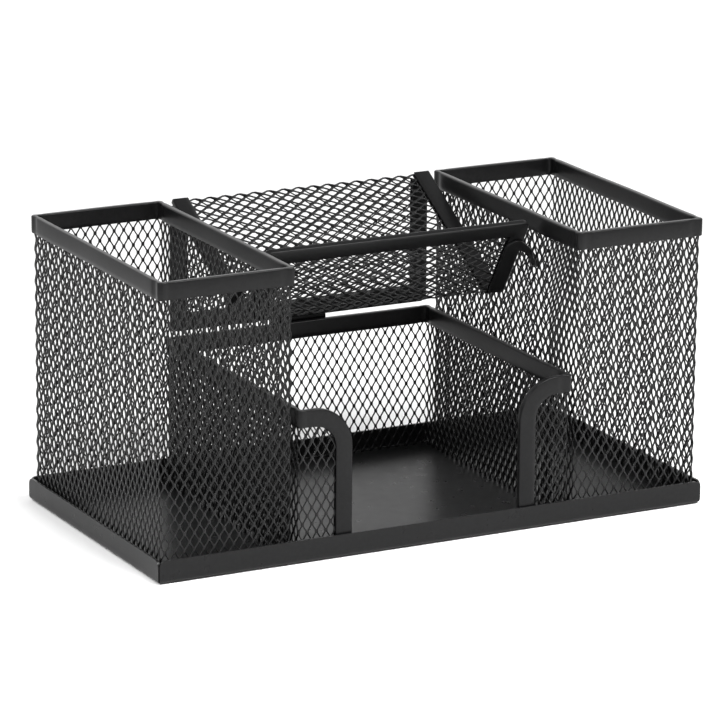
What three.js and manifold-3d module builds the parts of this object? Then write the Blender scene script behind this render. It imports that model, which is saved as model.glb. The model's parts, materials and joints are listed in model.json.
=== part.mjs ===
// Desk organizer in black expanded-metal mesh. Two tall pen cups stand left and right, a low memo box with
// a cut-away front stands between them, and a raised V-shaped tray bridges the cups above the memo box. All
// of them stand in one shallow sheet-metal base. Every mesh sheet is a plain sheet here, and its cut edges
// are bound by strips folded over them.
// Millimetres: X along the front, Y to the rear, Z up. The origin is the centre of the base's underside.

import * as THREE from 'three';
import { mergeVertices } from 'three/addons/utils/BufferGeometryUtils.js';
import Module from 'manifold-3d';

const wasm = await Module();
wasm.setup();

// Base: a pan of sheet metal with its edges turned up
const WIDTH = 205;
const DEPTH = 105;
const BASE_HEIGHT = 7.9;
const BASE_SHEET = 0.8;
const BASE_SEAM = { width: 0.4, bottom: 1.6 }; // the slit at each corner, where two turned-up edges meet

// Mesh sheets and the strips folded over their edges
const SHEET = 0.6;
const STRIP_THICKNESS = 2.2;
const STRIP_WALL = 0.5;
const STRIP_HEIGHT = 6;
const GAP = 0.3; // clearance between pieces that touch
const INSET = 1.1; // from the base's outer edge in to a strip's outer face
const WALL_CORNER = 0.4; // corner radius of a mesh box, at the middle of its sheet
const FOLD = GAP + STRIP_WALL; // how far a strip reaches past the sheet's edge
const SINK = INSET + STRIP_THICKNESS / 2; // from the base's outer edge in to the middle of a sheet

// Pen cups, over their rims
const CUP_WIDTH = 48.8;
const CUP_HEIGHT = 100.3;

// Memo box, over its rim, and the U-shaped cutout of its front
const MEMO_WIDTH = 103;
const MEMO_HEIGHT = 51.7;
const CUTOUT_WIDTH = 63;
const CUTOUT_RADIUS = 14;

// Tray: a rear panel, a slope down to a fold, and a lip up to the front bar, as points (y, z) of one sheet
const TRAY_WIDTH = 99.4;
const REAR_BOTTOM = new THREE.Vector2(DEPTH / 2 - SINK, 53.6);
const REAR_TOP = new THREE.Vector2(DEPTH / 2 - SINK, 100.8);
const VALLEY = new THREE.Vector2(-4.7, 69.4);
const LIP_ANGLE = THREE.MathUtils.degToRad(32.2); // forward lean of the lip
const LIP_LENGTH = 34.6; // from the valley to the top of the front bar
const BAR_CORNER = 2.5;
const REAR_CORNER = 2.5;

// Strips end short of a fold in the tray's sheet, so that they clear the strips on its other side
const REAR_FRAME_CLEARANCE = 2.9;
const SLOPE_STRIP_CLEARANCE = 1.5;
const VALLEY_CLEARANCE = 1.5;

// Hooks: flat plates on the lip's legs, each with a finger that reaches out through its cup's mesh. Heights
// are up the lip from the valley, and the finger's angles are below the horizontal of the lip's plane.
const HOOK_SHEET = 0.9;
const HOOK_INSET = 1.1; // from the tray's side to the leg's outer edge
const HOOK_LEG_WIDTH = 5.7;
const HOOK_BOTTOM = 3.4;
const HOOK_TOP = 27.1;
const SHOULDER_RADIUS = 3.7; // where the leg bends over
const MOUTH_TOP = 22.2;
const MOUTH_RADIUS = 0.9; // between the leg and the finger
const FINGER_WIDTH = 2.9;
const FINGER_START = THREE.MathUtils.degToRad(38);
const FINGER_END = THREE.MathUtils.degToRad(57);
const FINGER_TIP = { beyondLeg: 9.3, height: 14.2 }; // centre of the round tip
const FINGER_CROSSING = 20; // up the lip, where the finger passes through the cup's wall
const HOOK_SLOT = { depth: 5.6, height: 6.4 };

// Joining plate behind the memo box's rear rim and the tray's rear frame
const PLATE_WIDTH = 22;
const PLATE_SHEET = 0.7;
const PLATE_LAP = 4.5;

const CORNER_STEPS = 4;
const BEYOND = 2; // how far a cutting tool reaches past what it cuts

const X = new THREE.Vector3(1, 0, 0);
const Y = new THREE.Vector3(0, 1, 0);
const Z = new THREE.Vector3(0, 0, 1);

// Black powder coat: a little glossier on the folded strips than on the mesh
const meshPaint = () => new THREE.MeshStandardMaterial({ color: 0x1b1b1c, roughness: 0.55, metalness: 0.2 });
const stripPaint = () => new THREE.MeshStandardMaterial({ color: 0x1f1f20, roughness: 0.42, metalness: 0.2 });
const basePaint = () => new THREE.MeshStandardMaterial({ color: 0x222223, roughness: 0.4, metalness: 0.2 });

// A closed body from plain vertex and triangle lists, with its faces turned outwards
function closedBody(vertices, triangles) {
  let volume = 0;
  for (const [a, b, c] of triangles) {
    volume += vertices[a].dot(new THREE.Vector3().crossVectors(vertices[b], vertices[c]));
  }
  const faces = volume > 0 ? triangles : triangles.map(([a, b, c]) => [a, c, b]);
  const geometry = new THREE.BufferGeometry().setFromPoints(vertices);
  geometry.setIndex(faces.flat());
  geometry.computeVertexNormals();
  return geometry;
}

// Sweeps a section along stations. Each station stands on the sheet's edge: at is the point, across is the
// sheet's normal and out points away from the sheet. Section points are (across, out). In a turn whose
// radius is smaller than the strip, the points beyond the turn's centre meet in a mitre: turn gives the
// radius, the section axis it is measured on, and the mitre's direction less the station's own.
function sweep(stations, section, closed) {
  const size = section.length;
  const vertices = stations.flatMap(({ at, across, out, turn }) => section.map((p) => {
    const point = at.clone().addScaledVector(across, p.x).addScaledVector(out, p.y);
    const reach = turn ? turn.radius + p[turn.axis] : 0;
    return reach < 0 ? point.addScaledVector(turn.skew, reach) : point;
  }));
  const triangles = [];
  const spans = closed ? stations.length : stations.length - 1;
  for (let i = 0; i < spans; i++) {
    const here = i * size;
    const next = ((i + 1) % stations.length) * size;
    for (let j = 0; j < size; j++) {
      const k = (j + 1) % size;
      triangles.push([here + j, next + j, next + k], [here + j, next + k, here + k]);
    }
  }
  if (!closed) {
    const last = (stations.length - 1) * size;
    const clockwise = THREE.ShapeUtils.isClockWise(section);
    for (const corners of THREE.ShapeUtils.triangulateShape(section, [])) {
      const turned = THREE.ShapeUtils.isClockWise(corners.map((i) => section[i])) !== clockwise;
      const [a, b, c] = turned ? corners.toReversed() : corners;
      triangles.push([a, b, c], [last + c, last + b, last + a]);
    }
  }
  return closedBody(vertices, triangles);
}

// Section of a folded strip that grips the sheet's edge at (0, 0): a flat U with a round fold
function stripSection() {
  const half = STRIP_THICKNESS / 2;
  const foldCentre = FOLD - half;
  const points = [];
  for (let i = 0; i <= CORNER_STEPS; i++) {
    const angle = (Math.PI * i) / CORNER_STEPS;
    points.push(new THREE.Vector2(half * Math.cos(angle), foldCentre + half * Math.sin(angle)));
  }
  const edge = FOLD - STRIP_HEIGHT;
  const slot = half - STRIP_WALL;
  points.push(new THREE.Vector2(-half, edge), new THREE.Vector2(-slot, edge), new THREE.Vector2(-slot, GAP));
  points.push(new THREE.Vector2(slot, GAP), new THREE.Vector2(slot, edge), new THREE.Vector2(half, edge));
  return points;
}

// Section of a mesh sheet that hangs down from its top edge
function sheetSection(height) {
  const half = SHEET / 2;
  return [
    new THREE.Vector2(half, 0),
    new THREE.Vector2(-half, 0),
    new THREE.Vector2(-half, -height),
    new THREE.Vector2(half, -height),
  ];
}

// Stations around a rounded rectangle in plan, at the middle of the sheet, which gives the edge's height
function boxStations(width, depth, z) {
  const stations = [];
  const out = new THREE.Vector3(0, 0, 1);
  const quarters = [[1, 1], [-1, 1], [-1, -1], [1, -1]];
  quarters.forEach(([sx, sy], quarter) => {
    const cx = sx * (width / 2 - WALL_CORNER);
    const cy = sy * (depth / 2 - WALL_CORNER);
    for (let i = 0; i <= CORNER_STEPS; i++) {
      const angle = (Math.PI / 2) * (quarter + i / CORNER_STEPS);
      const across = new THREE.Vector3(Math.cos(angle), Math.sin(angle), 0);
      const at = new THREE.Vector3(cx, cy, z).addScaledVector(across, WALL_CORNER);
      const skew = new THREE.Vector3(sx, sy, 0).sub(across);
      stations.push({ at, across, out, turn: { radius: WALL_CORNER, axis: 'x', skew } });
    }
  });
  return stations;
}

// Stations along a path in a flat sheet: points and outward directions in the sheet's own axes (u, v)
function flatStations(path, origin, uAxis, vAxis) {
  const across = new THREE.Vector3().crossVectors(uAxis, vAxis);
  const direction = (u, v) => new THREE.Vector3().addScaledVector(uAxis, u).addScaledVector(vAxis, v);
  return path.map(({ u, v, outU, outV, radius }) => ({
    at: origin.clone().add(direction(u, v)),
    across,
    out: direction(outU, outV),
    turn: radius && { radius, axis: 'y', skew: direction(Math.sign(u) - outU, 1 - outV) },
  }));
}

// An arc of path points around (u, v), from one angle to another, which bulges away from its centre
function arcPath(u, v, radius, from, to) {
  return Array.from({ length: CORNER_STEPS + 1 }, (_, i) => {
    const angle = from + ((to - from) * i) / CORNER_STEPS;
    const outU = Math.cos(angle);
    const outV = Math.sin(angle);
    return { u: u + radius * outU, v: v + radius * outV, outU, outV };
  });
}

// Manifold solids from closed geometry and back
function toManifold(geometry) {
  const bare = new THREE.BufferGeometry();
  bare.setAttribute('position', geometry.getAttribute('position').clone());
  if (geometry.index) bare.setIndex(geometry.index.clone());
  const merged = mergeVertices(bare, 1e-4);
  return new wasm.Manifold(new wasm.Mesh({
    numProp: 3,
    vertProperties: Float32Array.from(merged.getAttribute('position').array),
    triVerts: Uint32Array.from(merged.index.array),
  }));
}

function fromManifold(solid) {
  const mesh = solid.getMesh();
  const geometry = new THREE.BufferGeometry();
  geometry.setAttribute('position', new THREE.BufferAttribute(Float32Array.from(mesh.vertProperties), 3));
  geometry.setIndex(new THREE.BufferAttribute(Uint32Array.from(mesh.triVerts), 1));
  geometry.computeVertexNormals();
  return geometry;
}

function cut(body, ...tools) {
  const start = toManifold(body);
  return fromManifold(tools.reduce((solid, tool) => solid.subtract(toManifold(tool)), start));
}

function extrude(shape, depth) {
  return new THREE.ExtrudeGeometry(shape, { depth, bevelEnabled: false, curveSegments: CORNER_STEPS });
}

function baseTray() {
  const outside = new THREE.BoxGeometry(WIDTH, DEPTH, BASE_HEIGHT).translate(0, 0, BASE_HEIGHT / 2);
  const inside = new THREE.BoxGeometry(WIDTH - 2 * BASE_SHEET, DEPTH - 2 * BASE_SHEET, BASE_HEIGHT);
  inside.translate(0, 0, BASE_SHEET + BASE_HEIGHT / 2);
  const seams = [[1, 1], [-1, 1], [-1, -1], [1, -1]].map(([sx, sy]) => {
    const slit = new THREE.BoxGeometry(2 * BEYOND, BASE_SEAM.width, BASE_HEIGHT);
    slit.rotateZ((sx * sy * Math.PI) / 4);
    return slit.translate((sx * WIDTH) / 2, (sy * DEPTH) / 2, BASE_SEAM.bottom + BASE_HEIGHT / 2);
  });
  return cut(outside, inside, ...seams);
}

// A pen cup's wrapped mesh wall and rim, centred on the origin in plan
const cupSheetWidth = CUP_WIDTH - STRIP_THICKNESS;
const boxSheetDepth = DEPTH - 2 * SINK;
const wallFoot = BASE_SHEET + GAP;

function cupWall() {
  const top = CUP_HEIGHT - FOLD;
  return sweep(boxStations(cupSheetWidth, boxSheetDepth, top), sheetSection(top - wallFoot), true);
}

function cupRim() {
  return sweep(boxStations(cupSheetWidth, boxSheetDepth, CUP_HEIGHT - FOLD), stripSection(), true);
}

// The memo box's cutout: each half runs up from the base, then turns outwards into the top edge
const memoSheetWidth = MEMO_WIDTH - STRIP_THICKNESS;
const memoSheetTop = MEMO_HEIGHT - FOLD;
const cutoutTurn = CUTOUT_RADIUS - FOLD;
const cutoutTurnX = CUTOUT_WIDTH / 2 + CUTOUT_RADIUS;
const cutoutTurnZ = MEMO_HEIGHT - CUTOUT_RADIUS;

function memoWall() {
  const walls = sweep(
    boxStations(memoSheetWidth, boxSheetDepth, memoSheetTop), sheetSection(memoSheetTop - wallFoot), true);
  const above = MEMO_HEIGHT + BEYOND;
  const opening = new THREE.Shape();
  opening.moveTo(-cutoutTurnX + cutoutTurn, 0);
  opening.lineTo(cutoutTurnX - cutoutTurn, 0);
  opening.absarc(cutoutTurnX, cutoutTurnZ, cutoutTurn, Math.PI, Math.PI / 2, true);
  opening.lineTo(cutoutTurnX, above);
  opening.lineTo(-cutoutTurnX, above);
  opening.absarc(-cutoutTurnX, cutoutTurnZ, cutoutTurn, Math.PI / 2, 0, true);
  const tool = extrude(opening, DEPTH / 2);
  tool.rotateX(Math.PI / 2);
  return cut(walls, tool);
}

function memoRim() {
  const origin = new THREE.Vector3(0, -boxSheetDepth / 2, 0);
  const leg = { u: cutoutTurnX - cutoutTurn, v: wallFoot, outU: -1, outV: 0 };
  const right = [leg, ...arcPath(cutoutTurnX, cutoutTurnZ, cutoutTurn, Math.PI, Math.PI / 2)];
  const left = right.toReversed().map((p) => ({ ...p, u: -p.u, outU: -p.outU }));
  const ring = boxStations(memoSheetWidth, boxSheetDepth, memoSheetTop);
  const frontRight = 3 * (CORNER_STEPS + 1);
  const stations = [
    ...flatStations(right, origin, X, Z),
    ...ring.slice(frontRight),
    ...ring.slice(0, frontRight),
    ...flatStations(left, origin, X, Z),
  ];
  return sweep(stations, stripSection(), false);
}

// The tray's sheet in its YZ section, and the axes of its sloping panel and of its lip
const alongSlope = new THREE.Vector2().subVectors(REAR_TOP, VALLEY);
const slopeLength = alongSlope.length();
alongSlope.normalize();
const alongLip = new THREE.Vector2(-Math.sin(LIP_ANGLE), Math.cos(LIP_ANGLE));
const traySheetWidth = TRAY_WIDTH - 2 * FOLD;
const inYZ = (p) => new THREE.Vector3(0, p.x, p.y);

// The tray's two framed panels: origin, axes across and along, length from the origin, corner radius
const rearPanel = [inYZ(REAR_TOP), X, Z.clone().negate(), REAR_TOP.y - REAR_BOTTOM.y, REAR_CORNER];
const lipPanel = [inYZ(VALLEY), X, inYZ(alongLip), LIP_LENGTH, BAR_CORNER];

// A sheet's outline, one half thickness to each side of a bent line, with its bends mitred
function bentSheet(line, thickness) {
  const normals = line.slice(1).map((p, i) => {
    const run = new THREE.Vector2().subVectors(p, line[i]).normalize();
    return new THREE.Vector2(-run.y, run.x);
  });
  const side = (sign) => line.map((p, i) => {
    const before = normals[Math.max(i - 1, 0)];
    const after = normals[Math.min(i, normals.length - 1)];
    const mitre = new THREE.Vector2().addVectors(before, after);
    return p.clone().addScaledVector(mitre, (sign * thickness) / mitre.lengthSq());
  });
  return new THREE.Shape([...side(1), ...side(-1).reverse()]);
}

// Tools that round a panel's two far corners, in the panel's axes, to fit inside its frame
function cornerCutters(origin, uAxis, vAxis, length, corner) {
  const turn = corner - FOLD;
  const u = traySheetWidth / 2 - turn;
  const v = length - FOLD - turn;
  const beyond = turn + BEYOND;
  const shape = new THREE.Shape();
  shape.absarc(u, v, turn, 0, Math.PI / 2, false);
  shape.lineTo(u, v + beyond);
  shape.lineTo(u + beyond, v + beyond);
  shape.lineTo(u + beyond, v);
  const across = new THREE.Vector3().crossVectors(uAxis, vAxis);
  const right = extrude(shape, 2 * BEYOND).translate(0, 0, -BEYOND);
  const left = mirrored(right);
  return [right, left].map((tool) =>
    tool.applyMatrix4(new THREE.Matrix4().makeBasis(uAxis, vAxis, across).setPosition(origin)));
}

function traySheet() {
  const bar = VALLEY.clone().addScaledVector(alongLip, LIP_LENGTH - FOLD);
  const foot = new THREE.Vector2(REAR_BOTTOM.x, REAR_BOTTOM.y + FOLD);
  const body = extrude(bentSheet([foot, REAR_TOP, VALLEY, bar], SHEET), traySheetWidth);
  body.translate(0, 0, -traySheetWidth / 2);
  body.applyMatrix4(new THREE.Matrix4().makeBasis(Y, Z, X));
  return cut(body, ...cornerCutters(...rearPanel), ...cornerCutters(...lipPanel));
}

// A U-shaped frame on three edges of a flat panel: down one side, round two corners, along and back up
function trayFrame(origin, uAxis, vAxis, length, corner, legEnd) {
  const halfWidth = traySheetWidth / 2;
  const edge = length - FOLD;
  const turn = corner - FOLD;
  const turnU = halfWidth - turn;
  const turnV = edge - turn;
  const bend = arcPath(turnU, turnV, turn, 0, Math.PI / 2).map((p) => ({ ...p, radius: turn }));
  const right = [{ u: halfWidth, v: legEnd, outU: 1, outV: 0 }, ...bend];
  const left = right.toReversed().map((p) => ({ ...p, u: -p.u, outU: -p.outU }));
  return sweep(flatStations([...right, ...left], origin, uAxis, vAxis), stripSection(), false);
}

const rearFrame = () => trayFrame(...rearPanel, REAR_FRAME_CLEARANCE);
const lipFrame = () => trayFrame(...lipPanel, VALLEY_CLEARANCE);

function slopeStrip(side) {
  const path = [VALLEY_CLEARANCE, slopeLength - SLOPE_STRIP_CLEARANCE].map((v) => (
    { u: (side * traySheetWidth) / 2, v, outU: side, outV: 0 }));
  return sweep(flatStations(path, inYZ(VALLEY), X, inYZ(alongSlope)), stripSection(), false);
}

// Right-hand hook in the lip's own plane: a leg plate that bends over into the finger
function hookOutline() {
  const outerEdge = TRAY_WIDTH / 2 - HOOK_INSET;
  const innerEdge = outerEdge - HOOK_LEG_WIDTH;
  const shoulder = new THREE.Vector2(innerEdge + SHOULDER_RADIUS, HOOK_TOP - SHOULDER_RADIUS);
  const mouth = new THREE.Vector2(outerEdge + MOUTH_RADIUS, MOUTH_TOP - MOUTH_RADIUS);
  const tip = new THREE.Vector2(outerEdge + FINGER_TIP.beyondLeg, FINGER_TIP.height);
  const half = FINGER_WIDTH / 2;
  const quarter = Math.PI / 2;
  const startNormal = new THREE.Vector2(Math.sin(FINGER_START), Math.cos(FINGER_START));
  const endNormal = new THREE.Vector2(Math.sin(FINGER_END), Math.cos(FINGER_END));
  // One edge of the finger, tangent to a circle at its start and to the tip at its end
  const bend = (centre, radius, side) => {
    const from = centre.clone().addScaledVector(startNormal, radius);
    const to = tip.clone().addScaledVector(endNormal, side * half);
    const reach = to.clone().sub(from).dot(endNormal) / Math.sin(FINGER_END - FINGER_START);
    const control = from.clone();
    control.x += reach * startNormal.y;
    control.y -= reach * startNormal.x;
    return { from, control, to };
  };
  const inner = bend(mouth, MOUTH_RADIUS, -1);
  const outer = bend(shoulder, SHOULDER_RADIUS, 1);
  const shape = new THREE.Shape();
  shape.moveTo(outerEdge, HOOK_BOTTOM);
  shape.absarc(mouth.x, mouth.y, MOUTH_RADIUS, Math.PI, quarter - FINGER_START, true);
  shape.quadraticCurveTo(inner.control.x, inner.control.y, inner.to.x, inner.to.y);
  shape.absarc(tip.x, tip.y, half, -quarter - FINGER_END, quarter - FINGER_END, false);
  shape.quadraticCurveTo(outer.control.x, outer.control.y, outer.from.x, outer.from.y);
  shape.absarc(shoulder.x, shoulder.y, SHOULDER_RADIUS, quarter - FINGER_START, Math.PI, false);
  shape.lineTo(innerEdge, HOOK_BOTTOM);
  return shape;
}

function hook(side) {
  const body = extrude(hookOutline(), HOOK_SHEET);
  const ahead = new THREE.Vector3().crossVectors(X, inYZ(alongLip));
  body.translate(0, 0, STRIP_THICKNESS / 2 + GAP);
  body.applyMatrix4(new THREE.Matrix4().makeBasis(X, inYZ(alongLip), ahead).setPosition(inYZ(VALLEY)));
  return side > 0 ? body : mirrored(body);
}

function mirrored(geometry) {
  const mirror = new THREE.Matrix4().makeScale(-1, 1, 1);
  const solid = toManifold(geometry).transform(mirror.elements);
  return fromManifold(solid);
}

// The hole that lets a hook's finger through a cup's inner wall, at the finger's height above the fold
function hookSlot(side) {
  const crossing = (CUP_WIDTH - STRIP_THICKNESS) / 2;
  const middle = VALLEY.clone().addScaledVector(alongLip, FINGER_CROSSING);
  const box = new THREE.BoxGeometry(2 * BEYOND, HOOK_SLOT.depth, HOOK_SLOT.height);
  box.translate(-side * crossing, middle.x - STRIP_THICKNESS / 2, middle.y - STRIP_THICKNESS / 2);
  return box;
}

function joiningPlate() {
  const bottom = MEMO_HEIGHT - PLATE_LAP;
  const top = REAR_BOTTOM.y + PLATE_LAP;
  const back = REAR_BOTTOM.x + STRIP_THICKNESS / 2 + GAP;
  const plate = new THREE.BoxGeometry(PLATE_WIDTH, PLATE_SHEET, top - bottom);
  return plate.translate(0, back + PLATE_SHEET / 2, (bottom + top) / 2);
}

const organizer = new THREE.Group();

function add(name, geometry, material, x = 0) {
  const piece = new THREE.Mesh(geometry, material);
  piece.name = name;
  piece.position.x = x;
  organizer.add(piece);
}

add('base_tray', baseTray(), basePaint());
for (const [side, word] of [[-1, 'left'], [1, 'right']]) {
  const cupX = side * ((WIDTH - CUP_WIDTH) / 2 - INSET);
  add(`${word}_cup_mesh`, cut(cupWall(), hookSlot(side)), meshPaint(), cupX);
  add(`${word}_cup_rim`, cupRim(), stripPaint(), cupX);
  add(`tray_${word}_slope_strip`, slopeStrip(side), stripPaint());
  add(`tray_${word}_hook`, hook(side), stripPaint());
}
add('memo_box_mesh', memoWall(), meshPaint());
add('memo_box_rim', memoRim(), stripPaint());
add('tray_mesh', traySheet(), meshPaint());
add('tray_rear_frame', rearFrame(), stripPaint());
add('tray_lip_frame', lipFrame(), stripPaint());
add('tray_joining_plate', joiningPlate(), stripPaint());

export default organizer;
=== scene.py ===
"""Looks of the desk organizer: real expanded mesh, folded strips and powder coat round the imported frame."""

import json
import math

import bmesh
import bpy
import numpy as np
from mathutils import Matrix, Vector

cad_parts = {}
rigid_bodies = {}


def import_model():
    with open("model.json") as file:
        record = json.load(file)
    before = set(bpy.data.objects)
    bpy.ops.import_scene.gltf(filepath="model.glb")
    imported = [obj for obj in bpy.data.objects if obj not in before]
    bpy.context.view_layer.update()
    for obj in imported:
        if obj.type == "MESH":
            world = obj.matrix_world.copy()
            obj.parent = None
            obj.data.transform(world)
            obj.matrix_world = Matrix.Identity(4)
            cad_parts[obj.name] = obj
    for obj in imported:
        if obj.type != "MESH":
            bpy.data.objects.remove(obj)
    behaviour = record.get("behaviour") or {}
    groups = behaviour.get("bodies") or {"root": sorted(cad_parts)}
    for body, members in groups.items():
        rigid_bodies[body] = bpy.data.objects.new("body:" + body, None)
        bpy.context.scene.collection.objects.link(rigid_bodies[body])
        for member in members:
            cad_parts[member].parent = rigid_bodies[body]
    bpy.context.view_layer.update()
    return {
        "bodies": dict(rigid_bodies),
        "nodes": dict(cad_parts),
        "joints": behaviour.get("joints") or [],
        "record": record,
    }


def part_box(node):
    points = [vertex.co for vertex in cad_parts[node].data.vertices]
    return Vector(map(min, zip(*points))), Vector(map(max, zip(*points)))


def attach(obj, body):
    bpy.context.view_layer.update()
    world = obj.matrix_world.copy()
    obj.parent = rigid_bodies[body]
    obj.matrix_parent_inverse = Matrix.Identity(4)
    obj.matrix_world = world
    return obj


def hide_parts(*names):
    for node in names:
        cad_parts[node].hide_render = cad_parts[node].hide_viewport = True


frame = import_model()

MM = 0.001  # sizes are in millimetres where no comment says metres; a mesh is made in metres

# Base: a pan of sheet metal
BASE_SHEET = 0.8
BASE_BEND = 1.5  # outer radius of the bend between the floor and a turned-up edge
BASE_SEAM = 0.85  # slit between two turned-up edges
TAB_TOP = 2.4  # corner radii of a turned-up edge
TAB_FOOT = 2.4
BASE_SHARES = (0.2, 0.4, 0.6, 0.8, 0.95, 0.975, 0.985, 0.992, 0.997, 1)  # columns, closer towards a corner

# Folded strips, which bind the sheets' edges
STRIP_THICKNESS = 2.2
STRIP_HEIGHT = 6.0
STRIP_WALL = 0.5
GAP = 0.3  # from the sheet's edge to the inside of the fold
FOLD = GAP + STRIP_WALL  # how far a strip reaches past the sheet's edge
FOLD_ROUND = 0.5  # radius of the two bends that make a strip's fold
SLOT = 1.1
SLOT_ROUND = 0.25  # the slot's two inner corners
FLANGE_TAPER = (0.07, 1.6)  # a flange gets thinner towards its end: by how much, over which length
FLANGE_EASE = 0.15  # height of the two chamfers at a flange's end
FLANGE_CHAMFERS = (0.05, 0.2)  # their widths, on the slot's side and outside
SHEET_CORNER = 0.5  # corner radius of a mesh box at the middle of its sheet
RIM_CORNER = 0.5  # and of its rim
RIM_STEP = 1.2
CRIMP = 0.45  # share of a rim's thickness that is pressed flat beside each corner
CRIMP_PLACE = 2.6  # from the corner to the middle of the crimp
CRIMP_LENGTH = 1.2
SWAY = (0.07, 7.3)  # a rim's faint waves, sideways and in height: how far, and the length per radian
RISE = (0.05, 11.9)
WAVE_FADE = 10.0  # the waves fade out over this length before a corner

# Edges
PLATE_ROUND = 0.2
HOOK_ROUND = 0.25
BEVEL_ANGLE = math.radians(35)  # sharper edges are rounded
SHARP_ANGLE = math.radians(50)  # and on a folded strip, edges sharper than this stay crisp
CORNER_STEPS = 8

# Expanded mesh: one cell measures 3.5 by 5.65, its long way upright on the boxes and crosswise on the tray
CELL_SHORT = 3.5
CELL_LONG = 5.65
STRAND = 0.48
MESH_THICKNESS = 0.5
STRAND_ROUND = 0.1
KNUCKLE = 0.45  # half the length of a knuckle's side
TIP = 0.15  # half the width of a cell's blunt tip
STRAND_TILT = 0.03  # lift of a strand's edge where the sheet was stretched
TIP_TILT = 0.25  # share of it by which a cell's tips go the other way
EDGE_MARGIN = 2.9  # a cell's centre stays this far inside the sheet's edge
SPARE_ROWS = 5  # rows of closed cells past the sheet's edges, and columns too where it doesn't wrap
CUP_PHASE = 0.25  # where the cells begin, in cells from the first corner
MEMO_PHASE = -0.25

# Memo box cutout
CUTOUT_WIDTH = 63.0
CUTOUT_RADIUS = 14.0

# Tray, as points (y, z) of its bent sheet
VALLEY = np.array([-4.7, 69.4])
LIP_ANGLE = math.radians(32.2)  # forward lean of the lip
ALONG_LIP = np.array([-math.sin(LIP_ANGLE), math.cos(LIP_ANGLE)])
LIP_LENGTH = 34.6
BAR_CORNER = 2.5
REAR_CORNER = 2.5
PEAK_RISE = 0.52  # from the middle of the sheet up to its mitred fold's highest point
PEAK_FOLD = 1.2  # bend radii at the peak and in the valley
VALLEY_FOLD = 2.4
REAR_CLEARANCE = 2.9  # strips end this far from the peak and from the valley
STRIP_CLEARANCE = 1.5

# Hooks: heights are up the lip from the valley, and angles are below the horizontal of the lip's plane
HOOK_SHEET = 0.9
HOOK_LAP = 0.03  # between the hook and the strip it is welded to
HOOK_INSET = 1.1
HOOK_LEG_WIDTH = 5.7
HOOK_BOTTOM = 3.4
HOOK_TOP = 27.1
SHOULDER_RADIUS = 3.7
MOUTH_TOP = 22.2
MOUTH_RADIUS = 0.9
FINGER_WIDTH = 2.9
FINGER_START = math.radians(38)
FINGER_END = math.radians(57)
FINGER_TIP = (9.3, 14.2)  # centre of the round tip: past the leg's outer edge, and up the lip
FINGER_CROSSING = 20.0  # where the finger passes through the cup's mesh
FINGER_HOLE = (2.4, 3.2)  # half the hole's depth and height

# Powder coat: noise scales are per metre and the grain's height is in metres
MOTTLE_SCALE = 900
MOTTLE = (0.8, 1.25)  # shares of the colour
GLOSS_SCALE = 220
GLOSS_SPREAD = (-0.02, 0.03)  # added to the roughness
GRAIN_SCALE = 1700
GRAIN_HEIGHT = 0.00002
NOISE_RANGE = (0.3, 0.7)  # the noise is nearly always between these

X_AXIS = np.array([1.0, 0.0, 0.0])
Z_AXIS = np.array([0.0, 0.0, 1.0])


# ---------------------------------------------------------------- helpers

def in_yz(point):
    """A point (y, z) of the tray's section in three dimensions."""
    return np.array([0.0, point[0], point[1]])


def box_mm(node):
    """A node's lowest and highest corners at rest, in millimetres."""
    low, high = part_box(node)
    return np.array(low) / MM, np.array(high) / MM


def make_piece(name, vertices, faces, material, nodes, merge=False):
    """One mesh in metres that stands for CAD nodes and moves with the root body."""
    mesh = bpy.data.meshes.new(name)
    mesh.from_pydata((np.asarray(vertices) * MM).tolist(), [], faces)
    if merge:
        merge_vertices(mesh)
    mesh.shade_smooth()
    piece = bpy.data.objects.new(name, mesh)
    bpy.context.scene.collection.objects.link(piece)
    mesh.materials.append(material)
    turn_outwards(mesh)
    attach(piece, "root")
    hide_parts(*nodes)
    return piece


def merge_vertices(mesh):
    """Joins vertices in one place, as in a mitre, and drops the faces that this leaves empty."""
    work = bmesh.new()
    work.from_mesh(mesh)
    bmesh.ops.remove_doubles(work, verts=work.verts, dist=1e-3 * MM)
    bmesh.ops.dissolve_degenerate(work, edges=work.edges, dist=1e-4 * MM)
    work.to_mesh(mesh)
    work.free()


def turn_outwards(mesh):
    """Flips a closed mesh whose faces point in."""
    work = bmesh.new()
    work.from_mesh(mesh)
    if work.calc_volume(signed=True) < 0:
        bmesh.ops.reverse_faces(work, faces=work.faces)
        work.to_mesh(mesh)
    work.free()


def align_faces(mesh):
    """Turns the faces of an open sheet to one side."""
    work = bmesh.new()
    work.from_mesh(mesh)
    bmesh.ops.recalc_face_normals(work, faces=work.faces)
    work.to_mesh(mesh)
    work.free()


def sharpen(piece):
    """Keeps sharp edges crisp under smooth shading."""
    work = bmesh.new()
    work.from_mesh(piece.data)
    for edge in work.edges:
        if len(edge.link_faces) == 2:
            edge.smooth = edge.calc_face_angle() < SHARP_ANGLE
    work.to_mesh(piece.data)
    work.free()


def bevel(piece, width, segments):
    """Rounds a piece's sharp edges."""
    modifier = piece.modifiers.new("edge_round", "BEVEL")
    modifier.width = width * MM
    modifier.segments = segments
    modifier.limit_method = "ANGLE"
    modifier.angle_limit = BEVEL_ANGLE
    modifier.harden_normals = True


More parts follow.
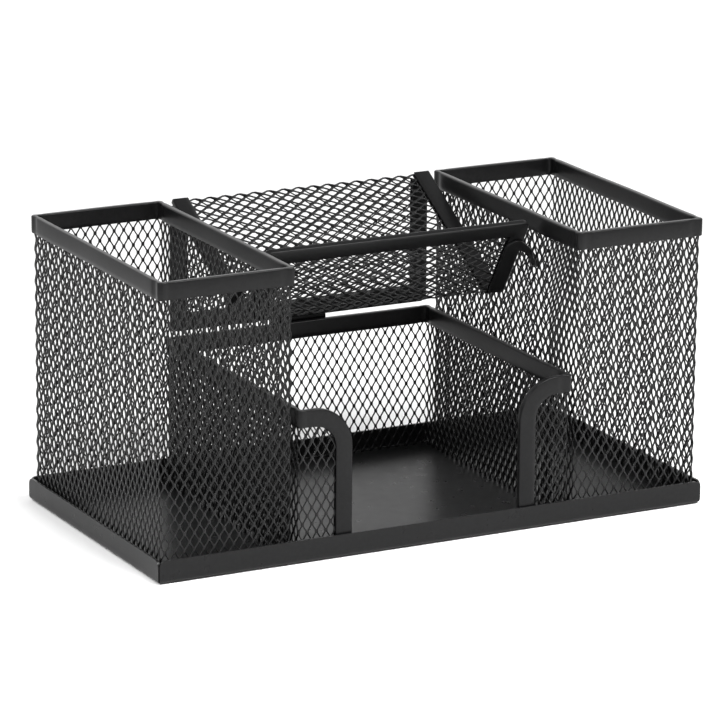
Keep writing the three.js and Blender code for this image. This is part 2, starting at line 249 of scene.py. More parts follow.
def rounded_corner(behind, corner, ahead, radius):
    """Points of the arc that rounds a corner between two others."""
    before = (behind - corner) / np.linalg.norm(behind - corner)
    after = (ahead - corner) / np.linalg.norm(ahead - corner)
    half = math.acos(np.clip(before @ after, -1, 1)) / 2
    centre = corner + (before + after) / np.linalg.norm(before + after) * radius / math.sin(half)
    start = corner + before * radius / math.tan(half) - centre
    end = corner + after * radius / math.tan(half) - centre
    turn = math.atan2(start[0] * end[1] - start[1] * end[0], start @ end)
    angles = math.atan2(start[1], start[0]) + np.linspace(0, turn, CORNER_STEPS + 1)
    return list(centre + radius * np.stack([np.cos(angles), np.sin(angles)], 1))


class Track:
    """A plane line with rounded corners: its points, left-hand normals and running length."""

    def __init__(self, corners, radii, closed=False, step=4.0):
        corners = [np.array(c, float) for c in corners]
        runs = []
        last = len(corners) - 1
        for i, (corner, radius) in enumerate(zip(corners, radii)):
            if not closed and i in (0, last):
                runs.append([corner])
            else:
                runs.append(rounded_corner(corners[i - 1], corner, corners[(i + 1) % len(corners)], radius))
        points = []
        for i, run in enumerate(runs):
            points += run
            if closed or i < last:
                ahead = runs[(i + 1) % len(runs)][0]
                count = max(1, round(np.linalg.norm(ahead - run[-1]) / step))
                points += [run[-1] + (ahead - run[-1]) * k / count for k in range(1, count)]
        self.closed = closed
        self.points = np.array(points)
        ring = np.vstack([self.points, self.points[:1]]) if closed else self.points
        self.lengths = np.concatenate([[0], np.cumsum(np.linalg.norm(np.diff(ring, axis=0), axis=1))])
        self.total = self.lengths[-1]
        if closed:
            ahead, behind = np.roll(self.points, -1, 0), np.roll(self.points, 1, 0)
        else:
            ahead = np.vstack([self.points[1:], 2 * self.points[-1] - self.points[-2]])
            behind = np.vstack([2 * self.points[0] - self.points[1], self.points[:-1]])
        direction = ahead - behind
        direction /= np.linalg.norm(direction, axis=1)[:, None]
        self.normals = np.stack([-direction[:, 1], direction[:, 0]], 1)

    def at(self, length):
        """Points and normals at running lengths."""
        if self.closed:
            length = np.mod(length, self.total)
        columns = [np.r_[c, c[:1]] if self.closed else c for c in (*self.points.T, *self.normals.T)]
        x, y, nx, ny = (np.interp(length, self.lengths, c) for c in columns)
        size = np.hypot(nx, ny)
        return x, y, nx / size, ny / size


# ---------------------------------------------------------------- expanded mesh

def cell_outline(short, long):
    """The eight corners of a cell's hole, counter-clockwise from its right side's lower end."""
    diagonal = math.hypot(short, long) / 2
    open_share = 1 - STRAND * diagonal / (short * long / 2)
    side = short / 2 * open_share * (1 - KNUCKLE / (long / 2 * open_share))
    tip = long / 2 * open_share * (1 - TIP / (short / 2 * open_share))
    return np.array([(side, -KNUCKLE), (side, KNUCKLE), (TIP, tip), (-TIP, tip),
                     (-side, KNUCKLE), (-side, -KNUCKLE), (-TIP, -tip), (TIP, -tip)])


def expanded_sheet(columns, rows, short, start, place, keep, wraps):
    """Vertices and faces of a closed expanded-mesh sheet.

    Cells stand in rows half a cell apart. keep says which cells are open, by their centres; the strands and
    knuckles round every open cell are made. place turns (across, along, lift) into millimetres."""
    i, j = np.meshgrid(np.arange(columns), np.arange(rows), indexing="ij")
    odd = j % 2
    across = start[0] + (i + odd / 2) * short
    along = start[1] + j * CELL_LONG / 2
    is_open = keep(across, along) & (j >= 2) & (j < rows - 2)
    if not wraps:
        is_open &= (i >= 2) & (i < columns - 2)

    outline = cell_outline(short, CELL_LONG)
    middle = np.hypot(*outline.T).mean()
    wide = outline * (1 + STRAND_ROUND / middle)
    tilt = np.sign(outline[:, 0]) * np.where(np.abs(outline[:, 0]) > 2 * TIP, 1.0, -TIP_TILT) * STRAND_TILT
    lift = MESH_THICKNESS / 2
    levels = ((wide, lift), (outline, 0.0), (wide, -lift))
    u = np.stack([across[..., None] + shape[:, 0] for shape, _ in levels], -1)
    v = np.stack([along[..., None] + shape[:, 1] for shape, _ in levels], -1)
    w = np.stack([np.broadcast_to(tilt + rise, (*across.shape, 8)) for _, rise in levels], -1)

    def neighbour(grid, di, dj):
        """The value at the cell di columns and dj rows on, counting an odd row's half step."""
        ii = (i + di + np.where(dj % 2 != 0, odd, 0)) % columns
        jj = np.clip(j + dj, 0, rows - 1)
        return grid[ii, jj]

    # Cells round a cell, and which strands and knuckles are made
    cell = i * rows + j
    right, up_right, up_left = neighbour(cell, 1, 0), neighbour(cell, 0, 1), neighbour(cell, -1, 1)
    down_right = neighbour(cell, 0, -1)
    strand_right = is_open | neighbour(is_open, 0, 1)
    strand_left = is_open | neighbour(is_open, -1, 1)
    knuckle = is_open | neighbour(is_open, 1, 0) | neighbour(is_open, 0, 1) | neighbour(is_open, 0, -1)

    def vertex(cells, corner, level):
        return (cells * 8 + corner) * 3 + level

    # Top and bottom: a quad for each strand, an octagon for each knuckle
    faces = []

    def both_sides(mask, ring):
        """One face on top and its reverse below, at every cell of mask. ring lists (cells, corner)."""
        for level, order in ((0, 1), (2, -1)):
            faces.extend(np.stack([vertex(c, k, level)[mask] for c, k in ring[::order]], 1).tolist())

    both_sides(strand_right, [(cell, 1), (up_right, 6), (up_right, 5), (cell, 2)])
    both_sides(strand_left, [(cell, 4), (cell, 3), (up_left, 0), (up_left, 7)])
    both_sides(knuckle, [(right, 5), (right, 4), (up_right, 7), (up_right, 6),
                         (cell, 1), (cell, 0), (down_right, 3), (down_right, 2)])

    # The holes' walls, one quad above the middle of the sheet and one below it
    walls = (knuckle, strand_right, neighbour(knuckle, -1, 1), strand_left, neighbour(knuckle, -1, 0),
             neighbour(strand_right, -1, -1), neighbour(knuckle, -1, -1), neighbour(strand_left, 0, -1))
    for corner, mask in enumerate(walls):
        ahead = (corner + 1) % 8
        for level in (0, 1):
            ring = (vertex(cell, corner, level), vertex(cell, ahead, level),
                    vertex(cell, ahead, level + 1), vertex(cell, corner, level + 1))
            faces.extend(np.stack([r[mask] for r in ring], 1).tolist())

    # A knuckle's side where its strand is left out
    strand_ends = (
        (strand_right, (up_right, 6), (cell, 1)),
        (neighbour(strand_left, 1, 0), (right, 4), (up_right, 7)),
        (neighbour(strand_left, 0, -1), (cell, 0), (down_right, 3)),
        (neighbour(strand_right, 0, -1), (down_right, 2), (right, 5)))
    for built, (a, ka), (b, kb) in strand_ends:
        mask = knuckle & ~built
        ring = [(b, kb, 0), (a, ka, 0), (a, ka, 1), (a, ka, 2), (b, kb, 2), (b, kb, 1)]
        faces.extend(np.stack([vertex(c, k, level)[mask] for c, k, level in ring], 1).tolist())

    used, faces = renumbered(faces, u.size)
    return place(u.ravel()[used], v.ravel()[used], w.ravel()[used]), faces


def renumbered(faces, count):
    """The vertices that faces use, out of a count of them, and the faces in terms of those."""
    used = np.unique([corner for face in faces for corner in face])
    number = np.zeros(count, int)
    number[used] = np.arange(len(used))
    return used, [[int(number[corner]) for corner in face] for face in faces]


def box_track(centre_x, width, depth, corner, step=4.0):
    """The middle of a mesh box's sheet in plan, counter-clockwise, so that its normals point inwards."""
    x, y = width / 2, depth / 2
    corners = [(centre_x + sx * x, sy * y) for sx, sy in ((-1, -1), (1, -1), (1, 1), (-1, 1))]
    return Track(corners, [corner] * 4, closed=True, step=step)


def box_sheet(name, nodes, track, foot, top, keep, phase):
    """A mesh box's wrapped sheet. Its cells are fitted to each side, and its strands bend at the corners.

    keep says which cells are there, by their centres. phase shifts the cells along the first side."""
    spread = track.points.max(axis=0) - track.points.min(axis=0) - (2 - math.pi / 2) * SHEET_CORNER
    sides = np.tile(spread, 2)
    counts = np.round(sides / CELL_SHORT).astype(int)
    columns = counts.sum()
    cell_marks = np.concatenate([[0], np.cumsum(counts)]) * CELL_SHORT
    corner_marks = SHEET_CORNER * math.pi / 4 + np.concatenate([[0], np.cumsum(sides)])

    def on_track(u):
        """Track points at lengths counted in cells, which begin at the first corner."""
        turns = np.floor(u / cell_marks[-1])
        along = np.interp(u - turns * cell_marks[-1], cell_marks, corner_marks)
        return track.at(along + turns * track.total)

    def place(u, v, w):
        x, y, nx, ny = on_track(u)
        return np.stack([x - w * nx, y - w * ny, v], 1)

    def inside(u, v):
        fits = (v > foot + EDGE_MARGIN) & (v < top - EDGE_MARGIN)
        return fits & keep(*on_track(u)[:2], v)

    rows = math.ceil((top - foot) / (CELL_LONG / 2)) + SPARE_ROWS
    lowest_open = foot + EDGE_MARGIN + 0.01
    start = (phase * CELL_SHORT, lowest_open - 3 * CELL_LONG / 2)
    vertices, faces = expanded_sheet(columns, rows, CELL_SHORT, start, place, inside, wraps=True)
    make_piece(name, vertices, faces, MESH_COAT, nodes)


# ---------------------------------------------------------------- folded strips

def strip_section():
    """(across, out) points of a folded strip's section, counter-clockwise from its right flange's end."""
    half, slot = STRIP_THICKNESS / 2, SLOT / 2
    end = FOLD - STRIP_HEIGHT
    inner, outer = FLANGE_CHAMFERS
    thinner, taper = FLANGE_TAPER
    flange = [(slot + inner, end), (half - outer, end),
              (half - thinner, end + FLANGE_EASE), (half, end + taper)]
    flat, bend = half - FOLD_ROUND, FOLD - FOLD_ROUND
    quarter = np.linspace(0, math.pi / 2, 5)
    fold = [(flat + FOLD_ROUND * math.cos(a), bend + FOLD_ROUND * math.sin(a)) for a in quarter]
    groove = [(slot - SLOT_ROUND, GAP), (slot, GAP - SLOT_ROUND), (slot, end + FLANGE_EASE)]

    def mirrored(points):
        return [(-x, y) for x, y in reversed(points)]

    return np.array(flange + fold + mirrored(flange + fold) + mirrored(groove) + groove)


def sweep(stations, section, closed):
    """Vertices and faces of a section swept along stations. In a turn that is tighter than the strip is wide,
    the points beyond the turn's centre meet in a mitre."""
    size, count = len(section), len(stations)
    rings = []
    for station in stations:
        points = station["at"] + np.outer(section[:, 0] * station.get("thickness", 1.0), station["across"])
        points += np.outer(section[:, 1], station["out"])
        if "radius" in station:
            reach = np.minimum(station["radius"] + section[:, station["axis"]], 0)
            points += np.outer(reach, station["skew"])
        rings.append(points)
    faces = []
    for i in range(count if closed else count - 1):
        here, ahead = i * size, (i + 1) % count * size
        faces += [[here + k, ahead + k, ahead + (k + 1) % size, here + (k + 1) % size] for k in range(size)]
    if not closed:
        faces += [list(range(size)), list(range(count * size - 1, (count - 1) * size - 1, -1))]
    return np.concatenate(rings), faces


def strip(name, nodes, stations, closed=False):
    """A folded strip along stations."""
    vertices, faces = sweep(stations, strip_section(), closed)
    piece = make_piece(name, vertices, faces, STRIP_COAT, nodes, merge=True)
    sharpen(piece)


def ring_stations(width, depth, centre_x, z):
    """Stations round a mesh box's top edge, with the rim crimped beside each corner and faintly wavy."""
    track = box_track(centre_x, width, depth, RIM_CORNER, step=RIM_STEP)
    stations = []
    for (x, y), (nx, ny), along in zip(track.points, track.normals, track.lengths):
        to_corner = np.hypot(width / 2 - abs(x - centre_x), depth / 2 - abs(y))
        crimp = CRIMP * math.exp(-((to_corner - CRIMP_PLACE) / CRIMP_LENGTH) ** 2)
        wave = min(to_corner / WAVE_FADE, 1.0)
        sway = SWAY[0] * wave * math.sin(along / SWAY[1] + centre_x)
        rise = RISE[0] * wave * math.sin(along / RISE[1])
        station = {"at": np.array([x - nx * sway, y - ny * sway, z + rise]), "out": Z_AXIS,
                   "across": np.array([-nx, -ny, 0.0]), "thickness": 1 - crimp}
        if to_corner < RIM_CORNER:
            mitre = np.array([np.sign(x - centre_x), np.sign(y), 0.0])
            station.update(radius=RIM_CORNER, axis=0, skew=mitre - station["across"])
        stations.append(station)
    return stations


def arc_path(u, v, radius, start, end, steps=12):
    """(u, v, out_u, out_v, 1) along an arc that bulges away from its centre."""
    angles = np.linspace(start, end, steps + 1)
    return [(u + radius * math.cos(a), v + radius * math.sin(a), math.cos(a), math.sin(a), 1) for a in angles]


def straight(first, last, step=4.0):
    """Path points from one to the other, the last left out."""
    first, last = np.array(first), np.array(last)
    count = max(1, round(np.linalg.norm((last - first)[:2]) / step))
    return [tuple(first + (last - first) * k / count) for k in range(count)]


def flat_stations(path, origin, u_axis, v_axis, radius=None):
    """Stations along a path in a flat sheet. radius is that of a turn too tight for the strip's width."""
    across = np.cross(u_axis, v_axis)
    stations = []
    for u, v, out_u, out_v, turning in path:
        station = {"at": origin + u * u_axis + v * v_axis, "across": across,
                   "out": out_u * u_axis + out_v * v_axis}
        if radius is not None and turning == 1:
            station.update(radius=radius, axis=1, skew=np.sign(u) * u_axis + v_axis - station["out"])
        stations.append(station)
    return stations


def mirror_path(path):
    """A path's mirror image in u, from its far end back."""
    return [(-u, v, -out_u, out_v, turning) for u, v, out_u, out_v, turning in reversed(path)]


# ---------------------------------------------------------------- outlines

def arc(centre, radius, start, end, steps):
    """Points along an arc, with both ends."""
    angles = np.linspace(start, end, steps)
    return list(np.array(centre) + radius * np.stack([np.cos(angles), np.sin(angles)], 1))


def curve(start, control, end, steps=9):
    """Points of a quadratic curve between its ends."""
    return [(1 - t) ** 2 * start + 2 * t * (1 - t) * control + t * t * end
            for t in np.linspace(0, 1, steps)[1:-1]]


# ---------------------------------------------------------------- materials

def powder_coat(name, colour, gloss, roughness, grain):
    """Black powder coat: near-black with a faint mottle, a fine orange-peel grain and uneven gloss."""
    material = bpy.data.materials.new(name)
    material.use_nodes = True
    nodes, links = material.node_tree.nodes, material.node_tree.links
    shader = nodes["Principled BSDF"]
    shader.inputs["Metallic"].default_value = 0.0
    shader.inputs["Specular IOR Level"].default_value = gloss
    place = nodes.new("ShaderNodeTexCoord")

    def noise(scale, detail):
        node = nodes.new("ShaderNodeTexNoise")
        node.inputs["Scale"].default_value = scale
        node.inputs["Detail"].default_value = detail
        links.new(place.outputs["Object"], node.inputs["Vector"])
        return node.outputs["Fac"]

    def mapped(value, low, high):
        node = nodes.new("ShaderNodeMapRange")
        node.inputs["From Min"].default_value, node.inputs["From Max"].default_value = NOISE_RANGE
        node.inputs["To Min"].default_value = low
        node.inputs["To Max"].default_value = high
        links.new(value, node.inputs["Value"])
        return node.outputs["Result"]

    ramp = nodes.new("ShaderNodeValToRGB")
    for element, share in zip(ramp.color_ramp.elements, MOTTLE):
        element.color = (*[c * share for c in colour], 1)
    links.new(mapped(noise(MOTTLE_SCALE, 3), 0, 1), ramp.inputs["Fac"])
    links.new(ramp.outputs["Color"], shader.inputs["Base Color"])
    uneven = mapped(noise(GLOSS_SCALE, 4), *(roughness + change for change in GLOSS_SPREAD))
    links.new(uneven, shader.inputs["Roughness"])
    bump = nodes.new("ShaderNodeBump")
    bump.inputs["Strength"].default_value = grain
    bump.inputs["Distance"].default_value = GRAIN_HEIGHT
    links.new(noise(GRAIN_SCALE, 2), bump.inputs["Height"])
    links.new(bump.outputs["Normal"], shader.inputs["Normal"])
    return material


MESH_COAT = powder_coat("mesh_coat", (0.004, 0.004, 0.0042), gloss=0.27, roughness=0.34, grain=0.25)
STRIP_COAT = powder_coat("strip_coat", (0.005, 0.005, 0.0052), gloss=0.15, roughness=0.3, grain=0.25)
BASE_COAT = powder_coat("base_coat", (0.006, 0.006, 0.0062), gloss=0.18, roughness=0.29, grain=0.04)


# ---------------------------------------------------------------- pieces

def base_tray():
    """A pan of one sheet: the floor's four edges turn up and end in rounded corners, a slit apart."""
    low, high = box_mm("base_tray")
    height = high[2] - low[2]
    half = (high - low)[:2] / 2
    flat = half - BASE_BEND
    middle = BASE_SHEET / 2
    radius = BASE_BEND - middle
    bend_length = radius * math.pi / 2
    tall = bend_length + height - BASE_BEND
    shares = np.array([*(-share for share in reversed(BASE_SHARES)), 0, *BASE_SHARES])
    bend_runs = np.linspace(0, bend_length, 7)
    wall_runs = np.linspace(bend_length, tall - TAB_TOP, 5)[1:]
    corner_runs = tall - TAB_TOP + TAB_TOP * np.sin(np.linspace(0, math.pi / 2, 8)[1:])
    runs = np.concatenate([bend_runs, wall_runs, corner_runs])

    def turned_up(run):
        """How far out and how high the sheet's middle is, a run past the floor's edge."""
        if run < bend_length:
            return radius * math.sin(run / radius), BASE_BEND - radius * math.cos(run / radius)
        return radius, BASE_BEND + run - bend_length

    def reach(run, length):
        """Half the length of the turned-up edge at that run, between its rounded corners."""
        seam = half[0] - flat[0] - BASE_SEAM / 2
        foot = seam * math.sqrt(1 - max(1 - run / TAB_FOOT, 0) ** 2)
        rise = min(max(run - (tall - TAB_TOP), 0), TAB_TOP)
        head = TAB_TOP - math.sqrt(TAB_TOP ** 2 - rise ** 2)
        return length + foot - head

    vertices, faces = [], []

    def grid(rows):
        """Adds a grid of points and the faces between them."""
        start, size = len(vertices), len(rows[0])
        vertices.extend(point for row in rows for point in row)
        for r in range(len(rows) - 1):
            corner = start + r * size
            faces.extend([corner + k, corner + k + 1, corner + size + k + 1, corner + size + k]
                         for k in range(size - 1))

    grid([[(flat[0] * across, flat[1] * along, middle) for across in shares] for along in shares])
    for side in (-1, 1):
        for axis in (0, 1):
            rows = []
            for run in runs:
                out, z = turned_up(run)
                across = shares * reach(run, flat[1 - axis])
                away = side * (flat[axis] + out)
                rows.append([(away, a, z) if axis == 0 else (a, away, z) for a in across])
            grid(rows)
    piece = make_piece("base_pan", vertices, faces, BASE_COAT, ["base_tray"], merge=True)
    align_faces(piece.data)
    sheet = piece.modifiers.new("sheet", "SOLIDIFY")
    sheet.thickness = BASE_SHEET * MM
    sheet.offset = 0
    sheet.use_even_offset = True
    bevel(piece, PLATE_ROUND, 2)


def pen_cup(side):
    """A cup's wrapped mesh and its rim."""
    low, high = box_mm(f"{side}_cup_rim")
    foot = box_mm(f"{side}_cup_mesh")[0][2]
    width, depth = (high - low)[:2] - STRIP_THICKNESS
    centre_x = (low[0] + high[0]) / 2
    edge = high[2] - FOLD
    track = box_track(centre_x, width, depth, SHEET_CORNER)
    ahead = np.array([-ALONG_LIP[1], ALONG_LIP[0]])
    finger = VALLEY + FINGER_CROSSING * ALONG_LIP + (STRIP_THICKNESS + HOOK_SHEET) / 2 * ahead

    def keep(x, y, z):
        """Leaves out the strands where the hook's finger passes through the inner wall."""
        inner = np.abs(x) < abs(centre_x)
        in_depth = np.abs(y - finger[0]) < FINGER_HOLE[0]
        in_height = np.abs(z - finger[1]) < FINGER_HOLE[1]
        return ~(inner & in_depth & in_height)

    box_sheet(f"{side}_cup_expanded_mesh", [f"{side}_cup_mesh"], track, foot, edge, keep, CUP_PHASE)
    ring = ring_stations(width, depth, centre_x, edge)
    strip(f"{side}_cup_folded_rim", [f"{side}_cup_rim"], ring, closed=True)


def memo_box():
    """The memo box's mesh with the cutout in its front, and the one strip that binds its edge."""
    low, high = box_mm("memo_box_rim")
    foot = box_mm("memo_box_mesh")[0][2]
    width, depth = (high - low)[:2] - STRIP_THICKNESS
    front = -depth / 2
    edge = high[2] - FOLD
    turn = CUTOUT_RADIUS - FOLD
    turn_x = CUTOUT_WIDTH / 2 + CUTOUT_RADIUS
    turn_z = high[2] - CUTOUT_RADIUS

    def keep(x, y, z):
        """Leaves out the cells of the front that the cutout takes."""
        reach = turn_x - np.abs(x)
        from_edge = np.where(z > turn_z, turn - np.hypot(reach, z - turn_z), turn - reach)
        in_cutout = (reach > 0) & (from_edge < EDGE_MARGIN)
        return ~((y < front + 1) & in_cutout)

    track = box_track(0, width, depth, SHEET_CORNER)
    box_sheet("memo_box_expanded_mesh", ["memo_box_mesh"], track, foot, edge, keep, MEMO_PHASE)

    leg = (turn_x - turn, foot, -1, 0, 0)
    bend = arc_path(turn_x, turn_z, turn, math.pi, math.pi / 2)
    right = straight(leg, bend[0]) + bend
    origin = np.array([0.0, front, 0.0])
    ring = ring_stations(width, depth, 0, edge)
    cut_away = [station["at"][1] < front + SHEET_CORNER / 2 and abs(station["at"][0]) < turn_x + SHEET_CORNER
                for station in ring]
    first = max(k for k in range(len(ring)) if cut_away[k]) + 1
    order = [k % len(ring) for k in range(first, first + len(ring))]
    stations = flat_stations(right, origin, X_AXIS, Z_AXIS)
    stations += [ring[k] for k in order if not cut_away[k]]
    stations += flat_stations(mirror_path(right), origin, X_AXIS, Z_AXIS)
    strip("memo_box_folded_rim", ["memo_box_rim"], stations)


def tray():
    """The tray's bent mesh, the strips that bind it, and its two hooks."""
    low, high = box_mm("tray_rear_frame")
    rear_y = (low[1] + high[1]) / 2
    peak = np.array([rear_y, box_mm("tray_mesh")[1][2] - PEAK_RISE])
    half_width = (high[0] - low[0]) / 2 - FOLD
    tray_sheet(np.array([rear_y, low[2] + FOLD]), peak, half_width)

    def frame(name, node, origin, v_axis, length, corner, leg_end):
        """A U of strip: down one side of a panel, round its two far corners and back up."""
        turn = corner - FOLD
        bend = arc_path(half_width - turn, length - FOLD - turn, turn, 0, math.pi / 2)
        path = straight((half_width, leg_end, 1, 0, 0), bend[0]) + bend
        strip(name, [node], flat_stations(path + mirror_path(path), in_yz(origin), X_AXIS, v_axis, turn))

    frame("tray_rear_folded_frame", "tray_rear_frame", peak, -Z_AXIS, peak[1] - low[2],
          REAR_CORNER, REAR_CLEARANCE)
    frame("tray_lip_folded_frame", "tray_lip_frame", VALLEY, in_yz(ALONG_LIP), LIP_LENGTH,
          BAR_CORNER, STRIP_CLEARANCE)
    slope_length = np.linalg.norm(peak - VALLEY)
    along_slope = (peak - VALLEY) / slope_length
    for side, sign in (("left", -1), ("right", 1)):
        ends = [(sign * half_width, v, sign, 0, 0) for v in (STRIP_CLEARANCE, slope_length - STRIP_CLEARANCE)]
        path = straight(*ends) + ends[1:]
        stations = flat_stations(path, in_yz(VALLEY), X_AXIS, in_yz(along_slope))
        strip(f"tray_{side}_slope_folded_strip", [f"tray_{side}_slope_strip"], stations)
        hook(side, sign, half_width + FOLD - HOOK_INSET)


def tray_sheet(foot, peak, half_width):
    """One mesh sheet, bent into a rear panel, a slope and a lip."""
    bar = VALLEY + ALONG_LIP * (LIP_LENGTH - FOLD)
    profile = Track([foot, peak, VALLEY, bar], [0, PEAK_FOLD, VALLEY_FOLD, 0], step=2.0)

    def place(u, v, w):
        y, z, ny, nz = profile.at(u)
        return np.stack([v, y + w * ny, z + w * nz], 1)

    def inside(u, v):
        return (u > EDGE_MARGIN) & (u < profile.total - EDGE_MARGIN) & (np.abs(v) < half_width - EDGE_MARGIN)

    short_count = round(profile.total / CELL_SHORT)
    short = profile.total / short_count
    columns = short_count + SPARE_ROWS
    rows = math.ceil(2 * half_width / (CELL_LONG / 2)) + SPARE_ROWS
    start = (-2 * short, -CELL_LONG / 2 * (rows - 1) / 2)
    vertices, faces = expanded_sheet(columns, rows, short, start, place, inside, wraps=False)
    make_piece("tray_expanded_mesh", vertices, faces, MESH_COAT, ["tray_mesh"])


def hook_outline(outer_edge):
    """The right-hand hook in the lip's plane: across, and up the lip from the valley."""
    inner_edge = outer_edge - HOOK_LEG_WIDTH
    shoulder = np.array([inner_edge + SHOULDER_RADIUS, HOOK_TOP - SHOULDER_RADIUS])
    mouth = np.array([outer_edge + MOUTH_RADIUS, MOUTH_TOP - MOUTH_RADIUS])
    tip = np.array([outer_edge + FINGER_TIP[0], FINGER_TIP[1]])
    start_normal = np.array([math.sin(FINGER_START), math.cos(FINGER_START)])
    end_normal = np.array([math.sin(FINGER_END), math.cos(FINGER_END)])
    along = np.array([start_normal[1], -start_normal[0]])

    def finger_edge(centre, radius, side):
        """Start, control and end of one edge, tangent to a circle and to the tip."""
        start = centre + radius * start_normal
        end = tip + side * FINGER_WIDTH / 2 * end_normal
        reach = (end - start) @ end_normal / math.sin(FINGER_END - FINGER_START)
        return start, start + reach * along, end

    quarter = math.pi / 2
    inner = finger_edge(mouth, MOUTH_RADIUS, -1)
    outer = finger_edge(shoulder, SHOULDER_RADIUS, 1)
    return (
        [np.array([inner_edge, HOOK_BOTTOM]), np.array([outer_edge, HOOK_BOTTOM])]
        + arc(mouth, MOUTH_RADIUS, math.pi, quarter - FINGER_START, 8)
        + curve(*inner)
        + arc(tip, FINGER_WIDTH / 2, -quarter - FINGER_END, quarter - FINGER_END, 12)
        + curve(*outer[::-1])
        + arc(shoulder, SHOULDER_RADIUS, quarter - FINGER_START, math.pi, 12))


def hook(side, sign, outer_edge):
    """A flat plate on the leg of the lip, bent over at its top into a finger."""
    outline = hook_outline(outer_edge)
    ahead = np.cross(X_AXIS, in_yz(ALONG_LIP))
    near = STRIP_THICKNESS / 2 + HOOK_LAP
    vertices = [sign * x * X_AXIS + in_yz(VALLEY) + y * in_yz(ALONG_LIP) + ahead * (near + rise)
                for rise in (0, HOOK_SHEET) for x, y in outline]
    size = len(outline)
    faces = [list(range(size))[::-1], list(range(size, 2 * size))]
    faces += [[k, (k + 1) % size, size + (k + 1) % size, size + k] for k in range(size)]
    piece = make_piece(f"tray_{side}_hook_plate", vertices, faces, STRIP_COAT, [f"tray_{side}_hook"])
    bevel(piece, HOOK_ROUND, 3)


def joining_plate():
    """The plate that ties the tray's rear frame to the memo box's rear rim."""
    low, high = box_mm("tray_joining_plate")
    corners = [(x, y, z) for z in (low[2], high[2]) for y in (low[1], high[1]) for x in (low[0], high[0])]
    faces = [[0, 2, 3, 1], [4, 5, 7, 6], [0, 1, 5, 4], [2, 6, 7, 3], [0, 4, 6, 2], [1, 3, 7, 5]]
    piece = make_piece("joining_plate", corners, faces, STRIP_COAT, ["tray_joining_plate"])
    bevel(piece, PLATE_ROUND, 2)


# ---------------------------------------------------------------- stage

CAMERA_AZIMUTH = math.radians(-27.577)
CAMERA_ELEVATION = math.radians(15.485)
CAMERA_ROLL = math.radians(0.482)
CAMERA_DISTANCE = 1570.39
CAMERA_TARGET = np.array([-2.338, 0.0, 50.404])
CAMERA_LENS = 231.226
CAMERA_SENSOR = 36.0

# Floor and lights are in metres and watts. A light has a place, an aim, a size and a power.
FLOOR_HALF = 6.0
FLOOR_DROP = 0.0002
FLOOR_COLOUR = (0.9, 0.9, 0.9, 1)
SOFT_LIGHTS = {
    "front": ((0.22, -0.38, 0.62), (0.2, -0.6, 0.0), (0.6, 0.3), 12),
    "left": ((-0.5, -0.25, 0.45), (-0.36, -0.16, 0.0), (0.4, 0.4), 3.5),
    "rear": ((0.28, 0.7, 0.6), (0.4, 1.1, 0.0), (1.2, 0.5), 4),
}

# The sky's strength goes from one value to another between two values of a direction's Y, and of its Z
SKY_ALONG_Y = ((-0.5, 0.8), (0.5, 1.5))
SKY_ALONG_Z = ((0.3, 0.65), (1.0, 0.6))


def camera():
    """A long lens that looks at the target from the front left, a little from above."""
    data = bpy.data.cameras.new("camera")
    data.lens = CAMERA_LENS
    data.sensor_width = CAMERA_SENSOR
    data.clip_end = 20
    back = Vector((math.sin(CAMERA_AZIMUTH) * math.cos(CAMERA_ELEVATION),
                   -math.cos(CAMERA_AZIMUTH) * math.cos(CAMERA_ELEVATION),
                   math.sin(CAMERA_ELEVATION)))
    right = (-back).cross(Vector((0, 0, 1))).normalized()
    up = right.cross(-back)
    cos, sin = math.cos(CAMERA_ROLL), math.sin(CAMERA_ROLL)
    axes = (cos * right + sin * up, cos * up - sin * right, back)
    place = (Vector(CAMERA_TARGET) + back * CAMERA_DISTANCE) * MM
    columns = Matrix((axes[0], axes[1], axes[2])).transposed().to_4x4()
    item = bpy.data.objects.new("camera", data)
    item.matrix_world = Matrix.Translation(place) @ columns
    bpy.context.scene.collection.objects.link(item)
    bpy.context.scene.camera = item


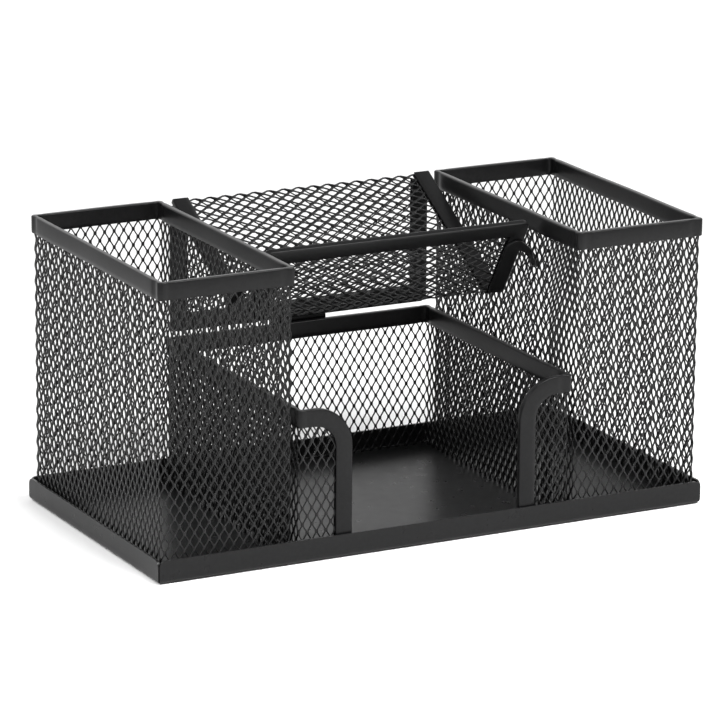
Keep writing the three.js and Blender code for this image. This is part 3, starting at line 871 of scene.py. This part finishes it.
def soft_light(name, place, aim, size, power):
    """A rectangular area light."""
    data = bpy.data.lights.new(name, "AREA")
    data.shape = "RECTANGLE"
    data.size, data.size_y = size
    data.energy = power
    item = bpy.data.objects.new(name, data)
    item.location = place
    item.rotation_euler = (Vector(aim) - Vector(place)).to_track_quat("-Z", "Y").to_euler()
    bpy.context.scene.collection.objects.link(item)


def sky_gradient(tree):
    """A studio that is brighter behind the object than in front of it, and dimmer overhead."""
    direction = tree.nodes.new("ShaderNodeTexCoord")
    parts = tree.nodes.new("ShaderNodeSeparateXYZ")
    tree.links.new(direction.outputs["Generated"], parts.inputs["Vector"])

    def share(axis, ends, values):
        node = tree.nodes.new("ShaderNodeMapRange")
        node.inputs["From Min"].default_value, node.inputs["From Max"].default_value = ends
        node.inputs["To Min"].default_value, node.inputs["To Max"].default_value = values
        tree.links.new(parts.outputs[axis], node.inputs["Value"])
        return node.outputs["Result"]

    strength = tree.nodes.new("ShaderNodeMath")
    strength.operation = "MULTIPLY"
    tree.links.new(share("Y", *SKY_ALONG_Y), strength.inputs[0])
    tree.links.new(share("Z", *SKY_ALONG_Z), strength.inputs[1])
    sky = tree.nodes["Background"]
    sky.inputs["Color"].default_value = (1, 1, 1, 1)
    tree.links.new(strength.outputs["Value"], sky.inputs["Strength"])


def stage():
    """The pale floor, the sky and the lights."""
    mesh = bpy.data.meshes.new("floor")
    corners = [(FLOOR_HALF * sx, FLOOR_HALF * sy, 0) for sx, sy in ((-1, -1), (1, -1), (1, 1), (-1, 1))]
    mesh.from_pydata(corners, [], [[0, 1, 2, 3]])
    floor = bpy.data.objects.new("floor", mesh)
    floor.location.z = -FLOOR_DROP
    bpy.context.scene.collection.objects.link(floor)
    material = bpy.data.materials.new("floor")
    material.use_nodes = True
    shader = material.node_tree.nodes["Principled BSDF"]
    shader.inputs["Base Color"].default_value = FLOOR_COLOUR
    shader.inputs["Roughness"].default_value = 0.9
    mesh.materials.append(material)
    world = bpy.data.worlds.new("world")
    world.use_nodes = True
    sky_gradient(world.node_tree)
    bpy.context.scene.world = world
    bpy.context.scene.view_settings.view_transform = "Standard"
    for name, settings in SOFT_LIGHTS.items():
        soft_light(name, *settings)


camera()
base_tray()
pen_cup("left")
pen_cup("right")
memo_box()
tray()
joining_plate()
stage()
